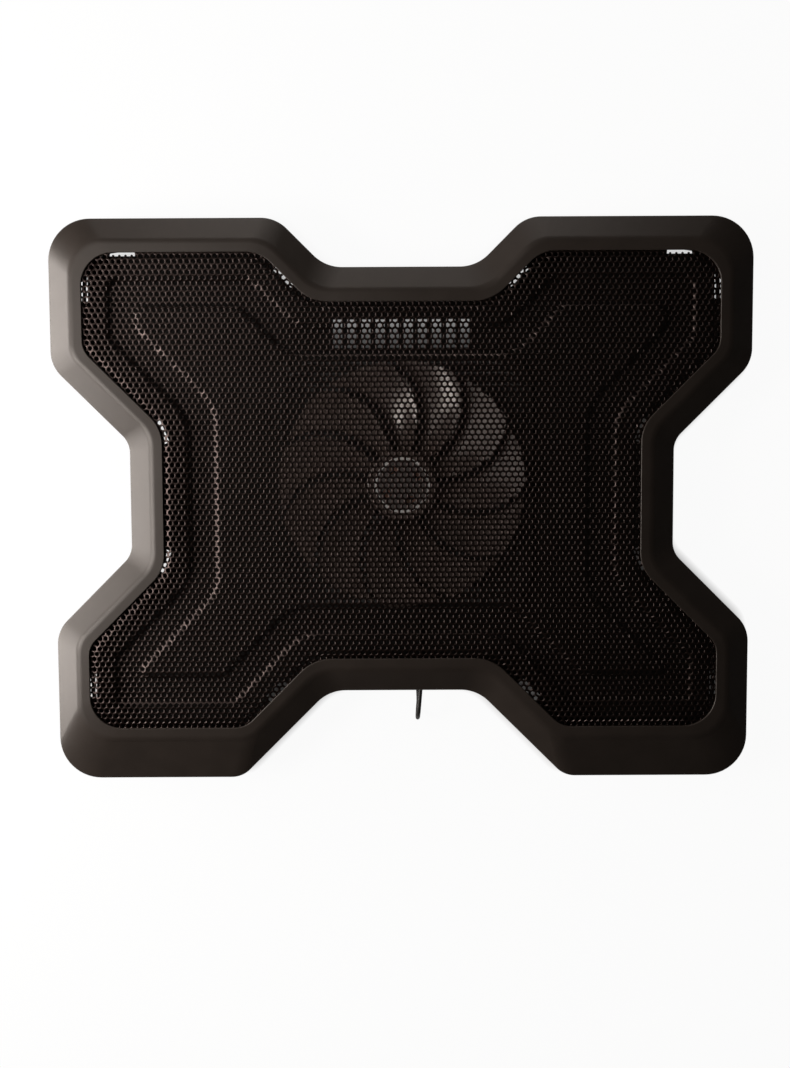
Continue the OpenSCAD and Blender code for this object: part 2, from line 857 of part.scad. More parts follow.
// Angle across one blade: chord share 0 is the high trailing edge, 1 the low leading edge
function blade_angle(i, c) = let (r = blade_radius(i), g = blade_gap / r * 180 / PI)
    gap_start + blade_sweep * pow(blade_s(i), 2) + g / 2 + c * (blade_pitch - g);
function blade_z(c) = blade_top - blade_t - blade_rise * (c + blade_bow * sin(180 * c));
module blade() {
    w = chord_n + 1;
    skin = [
        for (side = [0, 1])
            for (i = [0:radial_n])
                for (j = [0:chord_n])
                    let (r = blade_radius(i), c = j / chord_n, a = blade_angle(i, c))
                        [r * cos(a), r * sin(a), blade_z(c) + side * blade_t]
    ];
    n = (radial_n + 1) * w;
    flat = [
        for (i = [0:radial_n - 1])
            for (j = [0:chord_n - 1])
                [i * w + j, (i + 1) * w + j, (i + 1) * w + j + 1, i * w + j + 1]
    ];
    rim_loop = concat(
        [for (j = [0:chord_n]) j],
        [for (i = [1:radial_n]) i * w + chord_n],
        [for (j = [chord_n - 1:-1:0]) radial_n * w + j],
        [for (i = [radial_n - 1:-1:1]) i * w]
    );
    faces = concat(
        [for (q = flat) for (t = [[q[0], q[1], q[2]], [q[0], q[2], q[3]]]) t],
        [
            for (q = flat)
                for (t = [[q[0], q[2], q[1]], [q[0], q[3], q[2]]])
                    [t[0] + n, t[1] + n, t[2] + n]
        ],
        [
            for (k = [0:len(rim_loop) - 1])
                let (a = rim_loop[k], b = rim_loop[(k + 1) % len(rim_loop)])
                    for (t = [[a, b, b + n], [a, b + n, a + n]]) t
        ]
    );
    polyhedron(skin, faces);
}
module impeller() {
    color("#2a2a2b")
        at_fan()
            union() {
                difference() {
                    translate([0, 0, blade_top - blade_rise - blade_t - hub_skirt])
                        cylinder(r = hub_r, h = blade_rise + blade_t + hub_skirt + hub_over);
                    translate([0, 0, z_core - 20])
                        cylinder(r = yoke_r + touch, h = z_yoke + yoke_t - z_core + 20);
                    translate([0, 0, z_core])
                        cylinder(r = yoke_r - hub_lip, h = 40);
                }
                for (i = [0:blade_count - 1])
                    rotate([0, 0, i * blade_pitch])
                        blade();
            }
}

// Feet
module rubber_foot(sx, y) {
    color("#2e2e2e")
        translate([sx * foot_x, y, 0])
            cylinder(r = foot_r, h = pod_z + foot_seat);
}

// Flip-out legs, drawn folded
leg_heel = leg_t / 2 + 0.05;
recess_side = 4;
recess_end = 5;
recess_hinge = 9;
recess_web = 2;
recess_l = leg_l - recess_end - recess_hinge;
tip_l = 4;
module rear_leg(side) {
    color("#1f1f20")
        translate([side * leg_x, hinge_y, hinge_z])
            difference() {
                union() {
                    rotate([0, 90, 0])
                        cylinder(r = leg_t / 2, h = leg_w, center = true);
                    translate([-leg_w / 2, -leg_l, -leg_t / 2])
                        cube([leg_w, leg_l, leg_t]);
                    // Heel that stops the open leg against the floor
                    translate([-leg_w / 2, 0, -leg_t / 2])
                        cube([leg_w, leg_heel, leg_t / 2]);
                }
                rotate([0, 90, 0])
                    cylinder(r = pin_r + fit_gap, h = leg_w + 2, center = true);
                // Recess that lightens the leg
                translate([-leg_w / 2 + recess_side, -leg_l + recess_end, -leg_t / 2 - 1])
                    cube([leg_w - 2 * recess_side, recess_l, leg_t - recess_web + 1]);
            }
}
module leg_pin(side) {
    color("#b4b7ba")
        translate([side * leg_x, hinge_y, hinge_z])
            rotate([0, 90, 0])
                cylinder(r = pin_r, h = leg_w + 2 * ear_gap + 2 * ear_t, center = true);
}
module leg_tip(side) {
    color("#303030")
        translate([side * leg_x - leg_w / 2, hinge_y - leg_l - tip_l, hinge_z - leg_t / 2])
            cube([leg_w, tip_l, leg_t]);
}

// Cord: grommet, inner lead, free stretch, put-away coil, tail and plug
cord_r = cord_d / 2;
collar_r = grommet_r + 0.8;
collar_t = 1;
grommet_out = wall_y - collar_t;
module cord_grommet() {
    color("#232324")
        translate([grommet_x, 0, grommet_z])
            rotate([-90, 0, 0])
                union() {
                    translate([0, 0, grommet_out])
                        cylinder(r = collar_r, h = collar_t);
                    translate([0, 0, grommet_out])
                        cylinder(r = grommet_r, h = shell_t + 2 * collar_t);
                    translate([0, 0, wall_y + shell_t])
                        cylinder(r = collar_r, h = collar_t);
                }
}
z_lead = z_grille + grille_t - lead_d / 2 - lead_room;
lead_in = wall_y + shell_t + collar_t;
lead_board = fan_y - 9.6;
lead_run = [
    [grommet_x, lead_in, grommet_z],
    [grommet_x, lead_in + 2.5, grommet_z],
    [grommet_x, lead_in + 5, grommet_z - 0.7],
    [grommet_x, lead_in + 8, z_lead + 0.6],
    [grommet_x, lead_in + 11, z_lead],
    [grommet_x, fan_y - intake_w / 2, z_lead],
    [grommet_x, lead_board - 4, z_lead],
    [grommet_x, lead_board - 2, z_lead + 0.15],
    [grommet_x, lead_board - 0.7, z_lead + 0.7]
];
module fan_lead() {
    color("#2b2b2d")
        tube(lead_run, lead_d / 2, 8, [1, 0, 0]);
}
coil_x = -9.5;
coil_back = 17.8;
coil_mid = [coil_x, wall_y + coil_back];
coil_z = cord_r + 1.1;
coil_pitch = cord_d + 0.5;
coil_steps = 24;
coil_in_r = coil_r - coil_pitch * coil_turns;
function smooth(s) = s * s * (3 - 2 * s);
// Turn number u runs inward over the lower layer, climbs in half a turn, then runs outward
function coil_radius(u) = let (n = coil_turns)
    u <= n + 0.25 ? coil_r - coil_pitch * u : coil_in_r - coil_pitch * 0.25 + coil_pitch * (u - n - 0.25);
function coil_height(u) = let (n = coil_turns)
    coil_z + coil_pitch * smooth(max(0, min(1, (u - n) / 0.5)));
function coil_point(u) = let (r = coil_radius(u))
    [coil_mid[0] + r * cos(360 * u), coil_mid[1] + r * sin(360 * u), coil_height(u)];
coil_end = 2 * coil_turns + 0.5;
coil_first = coil_point(0) - [0, cord_d, 0];
coil_last = coil_point(coil_end) - [0, cord_d, 0];
coil_run = concat(
    [coil_first],
    [for (i = [0:coil_steps * coil_end]) coil_point(i / coil_steps)],
    [coil_last]
);
// Least gap between two turns, and the length of the whole cord
function least_gap(p, skip) = min([
    for (i = [0:len(p) - 1])
        for (j = [i + skip:1:len(p) - 1])
            norm(p[i] - p[j])
]) - cord_d;
function run_length(p, i = 1) = i < len(p) ? norm(p[i] - p[i - 1]) + run_length(p, i + 1) : 0;
module usb_cord_coil() {
    color("#161616")
        tube(coil_run, cord_r, 6, [0, 0, 1]);
}
module cord_tie() {
    lo = coil_in_r + coil_pitch * 0.25 - cord_r - 0.35;
    wide = coil_pitch * (coil_turns - 1) + cord_d + 0.7;
    tall = coil_pitch + cord_d + 0.7;
    color("#3c3c3d")
        translate([coil_mid[0], coil_mid[1], coil_z - cord_r - 0.35])
            rotate([0, 0, 270])
                translate([lo, -2, 0])
                    difference() {
                        translate([-0.7, 0, -0.7])
                            cube([wide + 1.4, 4, tall + 1.4]);
                        translate([0, -1, 0])
                            cube([wide, 6, tall]);
                    }
}
// From the grommet the cord drops in a half turn and runs back under the tray to the coil
cord_low = cord_r + 0.1;
cord_reach = 11.1;
cord_lean = 0.085;
drop_r = (grommet_z - cord_low) / 2;
drop_steps = 12;
under_steps = 6;
function cord_point(out, z) = [grommet_x - cord_lean * out, grommet_out - out, z];
drop_end = cord_point(cord_reach, cord_low);
cord_run = concat(
    [cord_point(0, grommet_z)],
    [
        for (i = [0:drop_steps])
            let (a = 180 * i / drop_steps)
                cord_point(cord_reach + drop_r * sin(a), cord_low + drop_r * (1 + cos(a)))
    ],
    [
        for (i = [1:under_steps])
            let (t = i / under_steps, h = smooth(t), v = coil_first - [0, touch, 0] - drop_end)
                drop_end + [h * v[0], t * v[1], h * v[2]]
    ]
);
module usb_cord() {
    color("#151515")
        tube(cord_run, cord_r, 8, [1, 0, 0]);
}
// From the coil the cord turns outward to its plug
tail_run = [
    coil_last,
    coil_last + [0, -2.2, 0],
    coil_last + [-0.6, -4.4, -0.2],
    coil_last + [-2, -6.5, -0.5],
    coil_last + [-4.1, -8, -0.8],
    coil_last + [-6.5, -8.7, -1],
    coil_last + [-9.5, -8.8, -1.1],
    coil_last + [-12.5, -8.8, -1.1]
];
echo(coil_gap = least_gap(coil_run, coil_steps / 2));
echo(cord_length = run_length(cord_run) + run_length(coil_run) + run_length(tail_run));
module usb_cord_tail() {
    color("#151515")
        tube(tail_run, cord_r, 8, [0, 0, 1]);
}
plug_at = tail_run[len(tail_run) - 1];
plug_w = 15.4;
plug_t = 7.2;
plug_l = 21;
relief_l = 8;
shell_w = 12;
shell_h = 4.5;
shell_l = 18.5;
module at_plug() {
    translate(plug_at)
        rotate([0, 0, 180])
            children();
}
module rounded_bar(w, h, l, r) {
    rotate([90, 0, 90])
        linear_extrude(l)
            polygon(rounded([[w, -h] / 2, [w, h] / 2, [-w, h] / 2, [-w, -h] / 2], [r, r, r, r]));
}
module usb_plug_body() {
    color("#1b1b1b")
        at_plug()
            union() {
                rotate([0, 90, 0])
                    cylinder(r1 = cord_r + 0.5, r2 = cord_r + 1.4, h = relief_l + 0.5);
                translate([relief_l, 0, 0])
                    rounded_bar(plug_w, plug_t, plug_l, 2);
            }
}
module usb_plug_shell() {
    color("#c9cbcd")
        at_plug()
            translate([relief_l + plug_l, 0, 0])
                difference() {
                    rounded_bar(shell_w, shell_h, shell_l, 0.6);
                    translate([-1, 0, 0])
                        rounded_bar(shell_w - 0.7, shell_h - 0.7, shell_l + 2, 0.4);
                    for (y = [-2.6, 2.6])
                        translate([shell_l - 7, y, 0])
                            cube([2.2, 2, 10], center = true);
                }
}
module usb_plug_insert() {
    color("#e4e2dc")
        at_plug()
            translate([relief_l + plug_l, -shell_w / 2 + 0.6, -shell_h / 2 + 0.4])
                cube([shell_l - 1, shell_w - 1.2, 1.9]);
}

base_tray();
rim();
mesh_panel();
intake_grille();
grille_screws();
bearing_tube();
bearing_sleeve();
motor_board();
stator_core();
stator_bobbin();
stator_coils();
fan_shaft();
shaft_clip();
rotor_yoke();
rotor_magnet();
hub_label();
impeller();
rubber_foot(-1, -foot_front);  // foot_front_left
rubber_foot(1, -foot_front);  // foot_front_right
rubber_foot(-1, foot_rear);  // foot_rear_left
rubber_foot(1, foot_rear);  // foot_rear_right
rear_leg(-1);  // leg_left
rear_leg(1);  // leg_right
leg_pin(-1);  // leg_pin_left
leg_pin(1);  // leg_pin_right
leg_tip(-1);  // leg_tip_left
leg_tip(1);  // leg_tip_right
cord_grommet();
fan_lead();
usb_cord();
usb_cord_coil();
cord_tie();
usb_cord_tail();
usb_plug_body();
usb_plug_shell();
usb_plug_insert();
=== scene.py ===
import math

import bpy
import numpy as np
from mathutils import Matrix, Vector


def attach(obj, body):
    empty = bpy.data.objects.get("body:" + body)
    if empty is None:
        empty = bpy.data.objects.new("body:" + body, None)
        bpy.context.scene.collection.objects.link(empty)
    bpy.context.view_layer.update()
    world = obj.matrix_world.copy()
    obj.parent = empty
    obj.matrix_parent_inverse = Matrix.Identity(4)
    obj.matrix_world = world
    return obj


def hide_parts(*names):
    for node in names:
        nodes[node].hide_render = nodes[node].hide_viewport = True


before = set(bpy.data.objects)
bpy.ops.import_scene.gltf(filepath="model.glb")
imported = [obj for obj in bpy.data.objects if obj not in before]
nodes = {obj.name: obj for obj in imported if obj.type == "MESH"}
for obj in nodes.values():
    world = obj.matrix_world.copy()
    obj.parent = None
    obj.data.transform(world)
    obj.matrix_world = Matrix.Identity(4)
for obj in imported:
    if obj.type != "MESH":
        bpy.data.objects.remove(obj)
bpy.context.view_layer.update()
MM = 0.001
scene = bpy.context.scene

# Sizes repeated from the part's source, in millimetres
HALF_W = 172.5
HALF_D = 139.0
NOTCH = 37.0
REAR_NOTCH = 24.0
FRONT_NOTCH = 44.0
SIDE_NOTCH = 38.0
SIDE_FRONT = 26.0
SIDE_REAR = 29.5
RIM_W = 17.3
FRONT_LIP = 9.5
SHELL_T = 2.2
Z_PART = 19.0
Z_MESH = 29.7
Z_TOP = 31.0
OUTER_R = [20, 13, 20.5, 17, 12, 12, 17, 20.5, 18, 20]
INNER_R = [22, 13, 16, 11, 19, 19, 12, 16, 18, 21]
GROOVE_R = [24, 5, 4, 4, 22, 22, 5, 6, 8, 24]
K45 = math.tan(math.radians(22.5))
FAN_Y = 8.0
FAN_R = 61.5
HUB_R = 17.5
CORD_D = 2.2
WALL_Y = -93.8


# Camera at the photograph's place: above the middle, a little to the rear, tilted by four degrees
PHOTO_H = 1068
FOCAL_PX = 1210.5
SHIFT_PX = (-7.1, -32.8)
CAMERA_TURN = (4.07, -0.03, 0.28)
CAMERA_AWAY = 0.600
CAMERA_AIM_Z = 0.0246
SENSOR = 36


def make_camera():
    pitch, yaw, roll = (math.radians(a) for a in CAMERA_TURN)
    turn = Matrix.Rotation(roll, 3, "Z") @ Matrix.Rotation(yaw, 3, "Y") @ Matrix.Rotation(pitch, 3, "X")
    axes = turn.transposed()
    place = axes @ Vector((0, 0, CAMERA_AWAY)) + Vector((0, 0, CAMERA_AIM_Z))
    data = bpy.data.cameras.new("camera")
    data.sensor_fit = "AUTO"
    data.sensor_width = SENSOR
    data.lens = SENSOR * FOCAL_PX / PHOTO_H
    data.shift_x = SHIFT_PX[0] / PHOTO_H
    data.shift_y = SHIFT_PX[1] / PHOTO_H
    data.clip_start = 0.01
    data.clip_end = 20
    cam = bpy.data.objects.new("camera", data)
    cam.matrix_world = Matrix.Translation(place) @ axes.to_4x4()
    scene.collection.objects.link(cam)
    scene.camera = cam


make_camera()


# Node helpers
def new_material(name):
    mat = bpy.data.materials.new(name)
    mat.use_nodes = True
    tree = mat.node_tree
    return mat, tree, tree.nodes["Principled BSDF"]


def add(tree, kind, **sockets):
    node = tree.nodes.new(kind)
    for key, value in sockets.items():
        node.inputs[key.replace("_", " ")].default_value = value
    return node


def noise(tree, scale, detail=2.0, rough=0.5, stretch=None):
    coord = tree.nodes.new("ShaderNodeTexCoord")
    out = coord.outputs["Object"]
    if stretch:
        mapping = tree.nodes.new("ShaderNodeMapping")
        mapping.inputs["Scale"].default_value = stretch
        tree.links.new(out, mapping.inputs["Vector"])
        out = mapping.outputs["Vector"]
    node = add(tree, "ShaderNodeTexNoise", Scale=scale, Detail=detail, Roughness=rough)
    tree.links.new(out, node.inputs["Vector"])
    return node.outputs["Fac"]


def spread(tree, fac, lo, hi, src=(0.3, 0.7)):
    node = tree.nodes.new("ShaderNodeMapRange")
    node.inputs["From Min"].default_value = src[0]
    node.inputs["From Max"].default_value = src[1]
    node.inputs["To Min"].default_value = lo
    node.inputs["To Max"].default_value = hi
    tree.links.new(fac, node.inputs["Value"])
    return node.outputs["Result"]


def two_tone(tree, fac, dark, light, src=(0.3, 0.7)):
    ramp = tree.nodes.new("ShaderNodeValToRGB")
    ramp.color_ramp.elements[0].position = src[0]
    ramp.color_ramp.elements[1].position = src[1]
    ramp.color_ramp.elements[0].color = (*dark, 1)
    ramp.color_ramp.elements[1].color = (*light, 1)
    tree.links.new(fac, ramp.inputs["Fac"])
    return ramp.outputs["Color"]


WHITE = (1.0, 1.0, 1.0)
CLOUD_DETAIL = 3.0
GRAIN_ROUGH = 0.55
COAT_ROUGH = 0.2


def surface(name, dark, light, rough, grain, depth, tone=90.0, stretch=None,
            metal=0.0, spec=0.5, coat=0.0, tint=WHITE):
    """Two close tones in slow clouds, with a fine grain that drives roughness and relief."""
    mat, tree, bsdf = new_material(name)
    clouds = noise(tree, tone, CLOUD_DETAIL)
    tree.links.new(two_tone(tree, clouds, dark, light), bsdf.inputs["Base Color"])
    fine = noise(tree, grain, rough=GRAIN_ROUGH, stretch=stretch)
    tree.links.new(spread(tree, fine, *rough), bsdf.inputs["Roughness"])
    bump = add(tree, "ShaderNodeBump", Strength=1.0, Distance=depth)
    tree.links.new(fine, bump.inputs["Height"])
    tree.links.new(bump.outputs["Normal"], bsdf.inputs["Normal"])
    bsdf.inputs["Metallic"].default_value = metal
    bsdf.inputs["Specular IOR Level"].default_value = spec
    bsdf.inputs["Specular Tint"].default_value = (*tint, 1.0)
    bsdf.inputs["Coat Weight"].default_value = coat
    bsdf.inputs["Coat Roughness"].default_value = COAT_ROUGH
    return mat


def winding():
    """Enamelled copper wire laid side by side."""
    mat, tree, bsdf = new_material("copper_winding")
    coord = tree.nodes.new("ShaderNodeTexCoord")
    wave = add(tree, "ShaderNodeTexWave", Scale=900.0, Distortion=0.6, Detail=1.0)
    wave.bands_direction = "Z"
    tree.links.new(coord.outputs["Object"], wave.inputs["Vector"])
    fac = wave.outputs["Fac"]
    # Painted light: the enamel is given a much lighter colour than the copper's own, for coils seen
    # only through the hub's holes
    enamel_painted_light = two_tone(tree, fac, (0.92, 0.50, 0.38), (1.00, 0.78, 0.66), (0.1, 0.9))
    tree.links.new(enamel_painted_light, bsdf.inputs["Base Color"])
    tree.links.new(spread(tree, fac, 0.45, 0.25, (0, 1)), bsdf.inputs["Roughness"])
    bump = add(tree, "ShaderNodeBump", Strength=1.0, Distance=0.00012)
    tree.links.new(fac, bump.inputs["Height"])
    tree.links.new(bump.outputs["Normal"], bsdf.inputs["Normal"])
    bsdf.inputs["Metallic"].default_value = 0.2
    return mat


# Two tones, range of roughness, scale of the grain and depth of its relief
rim_plastic = surface(
    "rim_plastic", (0.021, 0.016, 0.013), (0.025, 0.019, 0.0155), (0.33, 0.42), 2600, 0.00001,
    spec=0.40, tint=(1.0, 0.96, 0.92),
)
tray_plastic = surface(
    "tray_plastic", (0.0055, 0.0043, 0.0037), (0.008, 0.0062, 0.0055), (0.55, 0.68), 2200, 0.00002,
    spec=0.22,
)
deck_paint = surface(
    "deck_paint", (0.0030, 0.0017, 0.0013), (0.0045, 0.0026, 0.0021), (0.22, 0.28), 3600, 0.00001,
    spec=0.36, tint=(1.0, 0.76, 0.70),
)
# Painted light: the fan's moulding is given a lighter colour than its own dark plastic, making up for
# the little light that reaches it under the deck
fan_plastic = surface(
    "fan_plastic", (0.100, 0.074, 0.064), (0.128, 0.098, 0.086), (0.20, 0.29), 2600, 0.00001,
    spec=0.8, coat=0.55, tint=(1.0, 0.92, 0.88),
)
grille_plastic = surface(
    "grille_plastic", (0.007, 0.006, 0.005), (0.010, 0.008, 0.007), (0.55, 0.68), 2200, 0.00002,
    spec=0.25,
)
# Painted sheen: the bare steel ring is given a near-white, non-metal colour that stands in for its
# reflection, so it shows bright all round
yoke_steel = surface(
    "yoke_steel", (0.92, 0.90, 0.87), (0.98, 0.96, 0.93), (0.36, 0.48), 1400, 0.000006,
    tone=300, spec=1.0,
)
dark_steel = surface(
    "dark_steel", (0.045, 0.043, 0.042), (0.065, 0.062, 0.060), (0.34, 0.48), 1400, 0.000004,
    tone=300, metal=1.0,
)
steel = surface(
    "steel", (0.50, 0.49, 0.47), (0.62, 0.61, 0.58), (0.24, 0.40), 1400, 0.000004,
    tone=300, stretch=(1, 8, 1), metal=1.0,
)
laminate = surface(
    "laminate", (0.30, 0.30, 0.31), (0.42, 0.42, 0.43), (0.35, 0.50), 2600, 0.00003,
    tone=200, stretch=(0.1, 0.1, 6), metal=1.0,
)
magnet = surface("magnet", (0.040, 0.038, 0.037), (0.070, 0.067, 0.065), (0.60, 0.75), 1800, 0.00002)
brass = surface(
    "brass", (0.48, 0.33, 0.13), (0.62, 0.45, 0.20), (0.25, 0.42), 1500, 0.000006,
    tone=240, metal=1.0,
)
board = surface(
    "board", (0.015, 0.10, 0.045), (0.025, 0.16, 0.07), (0.28, 0.45), 1600, 0.00001,
    tone=500,
)
bobbin = surface("bobbin", (0.62, 0.58, 0.48), (0.74, 0.70, 0.60), (0.40, 0.55), 1600, 0.00001)
label_film = surface(
    "label_film", (0.125, 0.108, 0.101), (0.160, 0.140, 0.132), (0.30, 0.42), 900, 0.00001,
)
rubber = surface("rubber", (0.020, 0.019, 0.018), (0.030, 0.028, 0.027), (0.72, 0.88), 2600, 0.00004)
sheath = surface(
    "cord_sheath", (0.014, 0.013, 0.012), (0.021, 0.019, 0.018), (0.38, 0.52), 1800, 0.00001,
)
lead_sheath = surface(
    "lead_sheath", (0.006, 0.005, 0.005), (0.009, 0.008, 0.007), (0.70, 0.85), 1800, 0.00001,
    spec=0.2,
)
plug_plastic = surface(
    "plug_plastic", (0.016, 0.015, 0.014), (0.024, 0.022, 0.021), (0.42, 0.58), 2000, 0.00002,
)
plug_metal = surface(
    "plug_metal", (0.62, 0.62, 0.60), (0.74, 0.73, 0.71), (0.20, 0.34), 1600, 0.000004,
    tone=260, stretch=(8, 1, 1), metal=1.0,
)
plug_white = surface("plug_white", (0.70, 0.69, 0.66), (0.80, 0.79, 0.76), (0.40, 0.52), 1500, 0.00001)
clip_white = surface("clip_white", (0.60, 0.59, 0.56), (0.72, 0.71, 0.68), (0.40, 0.52), 1500, 0.00001)
tie_plastic = surface(
    "tie_plastic", (0.018, 0.017, 0.017), (0.028, 0.027, 0.026), (0.48, 0.62), 1800, 0.00002,
)
copper = winding()


# Piece helpers
def finish_mesh(mesh, sharp):
    mesh.polygons.foreach_set("use_smooth", [True] * len(mesh.polygons))
    mesh.set_sharp_from_angle(angle=math.radians(sharp))
    mesh.update()


def mesh_piece(name, points, faces, body, mat, stands_for=(), sharp=35):
    """A piece from points in millimetres."""
    mesh = bpy.data.meshes.new(name)
    mesh.from_pydata((np.asarray(points, float) * MM).tolist(), [], faces)
    mesh.validate()
    finish_mesh(mesh, sharp)
    mesh.materials.append(mat)
    obj = bpy.data.objects.new(name, mesh)
    scene.collection.objects.link(obj)
    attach(obj, body)
    if stands_for:
        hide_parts(*stands_for)
    return obj


def weighted(obj):
    mod = obj.modifiers.new("even_normals", "WEIGHTED_NORMAL")
    mod.keep_sharp = True


# Outlines
def half_corners(d, e):
    k = K45 * d
    return [
        (NOTCH + k, -(HALF_D - FRONT_NOTCH - d)),
        (NOTCH + FRONT_NOTCH + k - e, -(HALF_D - d - e)),
        (HALF_W - d, -(HALF_D - d - e)),
        (HALF_W - d, -(SIDE_FRONT + SIDE_NOTCH + k)),
        (HALF_W - SIDE_NOTCH - d, -(SIDE_FRONT + k)),
        (HALF_W - SIDE_NOTCH - d, SIDE_REAR + k),
        (HALF_W - d, SIDE_REAR + SIDE_NOTCH + k),
        (HALF_W - d, HALF_D - d),
        (NOTCH + REAR_NOTCH + k, HALF_D - d),
        (NOTCH + k, HALF_D - REAR_NOTCH - d),
    ]


def both_sides(half):
    return half + [(-x, y) for x, y in reversed(half)]


def rounded(points, radii, n, closed=True):
    """Corners of a line turned into arcs of n steps."""
    out = []
    m = len(points)
    pts = [np.array(p, float) for p in points]
    for i, v in enumerate(pts):
        if not closed and i in (0, m - 1) or radii[i] <= 0:
            out.append(tuple(v))
            continue
        a = pts[i - 1] - v
        b = pts[(i + 1) % m] - v
        la, lb = np.linalg.norm(a), np.linalg.norm(b)
        u, w = a / la, b / lb
        h = math.acos(max(-1.0, min(1.0, float(u @ w)))) / 2
        t = min(radii[i] / math.tan(h), 0.48 * min(la, lb))
        q = t * math.tan(h)
        mid = (u + w) / np.linalg.norm(u + w)
        c = v + mid * q / math.sin(h)
        s, f = v + u * t - c, v + w * t - c
        a0 = math.atan2(s[1], s[0])
        turn = (math.atan2(f[1], f[0]) - a0 + 3 * math.pi) % (2 * math.pi) - math.pi
        for j in range(n + 1):
            g = a0 + turn * j / n
            out.append((c[0] + q * math.cos(g), c[1] + q * math.sin(g)))
    return out


def outline(d, e, n):
    s = min(1.0, max(0.0, d / RIM_W))
    half = [o + (i - o) * s for o, i in zip(OUTER_R, INNER_R)]
    return rounded(both_sides(half_corners(d, e)), half + half[::-1], n)


def groove_line(d, n=10):
    return rounded(both_sides(half_corners(d, FRONT_LIP)), GROOVE_R + GROOVE_R[::-1], n)


def inside_depth(points, line):
    """How deep each point lies inside a closed line; negative outside."""
    p = np.asarray(points, float)
    a = np.asarray(line, float)
    b = np.roll(a, -1, axis=0)
    keep = np.linalg.norm(b - a, axis=1) > 1e-9
    a, b = a[keep], b[keep]
    best = np.full(len(p), 1e9)
    inside = np.zeros(len(p), bool)
    for (ax, ay), (bx, by) in zip(a, b):
        dx, dy = bx - ax, by - ay
        t = np.clip(((p[:, 0] - ax) * dx + (p[:, 1] - ay) * dy) / (dx * dx + dy * dy), 0, 1)
        best = np.minimum(best, np.hypot(p[:, 0] - ax - t * dx, p[:, 1] - ay - t * dy))
        if ay != by:
            cross = (ay > p[:, 1]) != (by > p[:, 1])
            inside ^= cross & (p[:, 0] < ax + (p[:, 1] - ay) * dx / dy)
    return np.where(inside, best, -best)


def smooth(t):
    t = np.clip(t, 0, 1)
    return t * t * (3 - 2 * t)


# Cord, from the grommet down under the pad to its coil and plug
CORD_EXIT = (9.0, WALL_Y - 1, 15.0)
CORD_LOW = CORD_D / 2 + 0.1
CORD_REACH = 11.1
CORD_LEAN = 0.085
BEND_STEPS = 24
LEAD_STEPS = 12
COIL_MID = (-9.5, WALL_Y + 17.8)
COIL_R = 16.0
COIL_Z = CORD_D / 2 + 1.1
COIL_PITCH = CORD_D + 0.5
COIL_TURNS = 3
COIL_STEPS = 48
CORD_TAIL = [
    (0, 0, 0),
    (0, -2.2, 0),
    (-0.6, -4.4, -0.2),
    (-2, -6.5, -0.5),
    (-4.1, -8, -0.8),
    (-6.5, -8.7, -1),
    (-9.5, -8.8, -1.1),
    (-12.5, -8.8, -1.1),
]


def coil_point(u):
    """A point after u turns: inwards in the lower layer, then outwards in the upper one."""
    inmost = COIL_TURNS + 0.25
    r = COIL_R - COIL_PITCH * (inmost - abs(u - inmost))
    a = 2 * math.pi * u
    z = COIL_Z + COIL_PITCH * float(smooth((u - COIL_TURNS) / 0.5))
    return np.array((COIL_MID[0] + r * math.cos(a), COIL_MID[1] + r * math.sin(a), z))


def cord_route():
    out = np.array(CORD_EXIT)
    drop = (out[2] - CORD_LOW) / 2

    def away(far, z):
        return np.array((out[0] - CORD_LEAN * far, out[1] - far, z))

    pts = [out, away(CORD_REACH / 2, out[2])]
    for i in range(BEND_STEPS + 1):
        a = math.pi * i / BEND_STEPS
        pts.append(away(CORD_REACH + drop * math.sin(a), CORD_LOW + drop * (1 + math.cos(a))))
    end = 2 * COIL_TURNS + 0.5
    first = coil_point(0) - (0, CORD_D, 0)
    last = coil_point(end) - (0, CORD_D, 0)
    start = pts[-1]
    for i in range(1, LEAD_STEPS + 1):
        t = i / LEAD_STEPS
        h = float(smooth(t))
        pts.append(start + (first - start) * (h, t, h))
    pts += [coil_point(i / COIL_STEPS) for i in range(int(COIL_STEPS * end) + 1)]
    pts += [last + step for step in CORD_TAIL]
    return np.array(pts) * MM


def make_cord():
    pts = cord_route()
    data = bpy.data.curves.new("usb_cord_sheath", "CURVE")
    data.dimensions = "3D"
    spline = data.splines.new("POLY")
    spline.points.add(len(pts) - 1)
    spline.points.foreach_set("co", np.c_[pts, np.ones(len(pts))].ravel())
    data.bevel_depth = CORD_D / 2 * MM
    data.bevel_resolution = 4
    data.use_fill_caps = True
    data.materials.append(sheath)
    obj = bpy.data.objects.new("usb_cord_sheath", data)
    scene.collection.objects.link(obj)
    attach(obj, "pad")
    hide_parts("usb_cord", "usb_cord_coil", "usb_cord_tail")


make_cord()


# Rim: a planar outer slope that bends into a nearly level inner band, lofted round the outline
LIP_FROM = 0.25
LIP_SPAN = 0.33
SECTION_STEPS = 7
CORNER_STEPS = 14
SNAP_INSET = 10.9
SNAP_X = (-5.5, -5.2, 5.2, 5.5)
SNAP_SOFT = 0.25
SNAP_SIDE = [
    (-0.7, 28.7),
    (-0.7, 7.6),
    (-0.45, 7.5),
    (0.45, 7.5),
    (1.7, 8.05),
    (1.7, 8.75),
    (0.7, 8.8),
    (0.7, 28.7),
]


def lip_extra(d):
    """The front band is wider by a lip that grows over part of the rim's width."""
    return FRONT_LIP * min(1.0, max(0.0, (d / RIM_W - LIP_FROM) / LIP_SPAN))


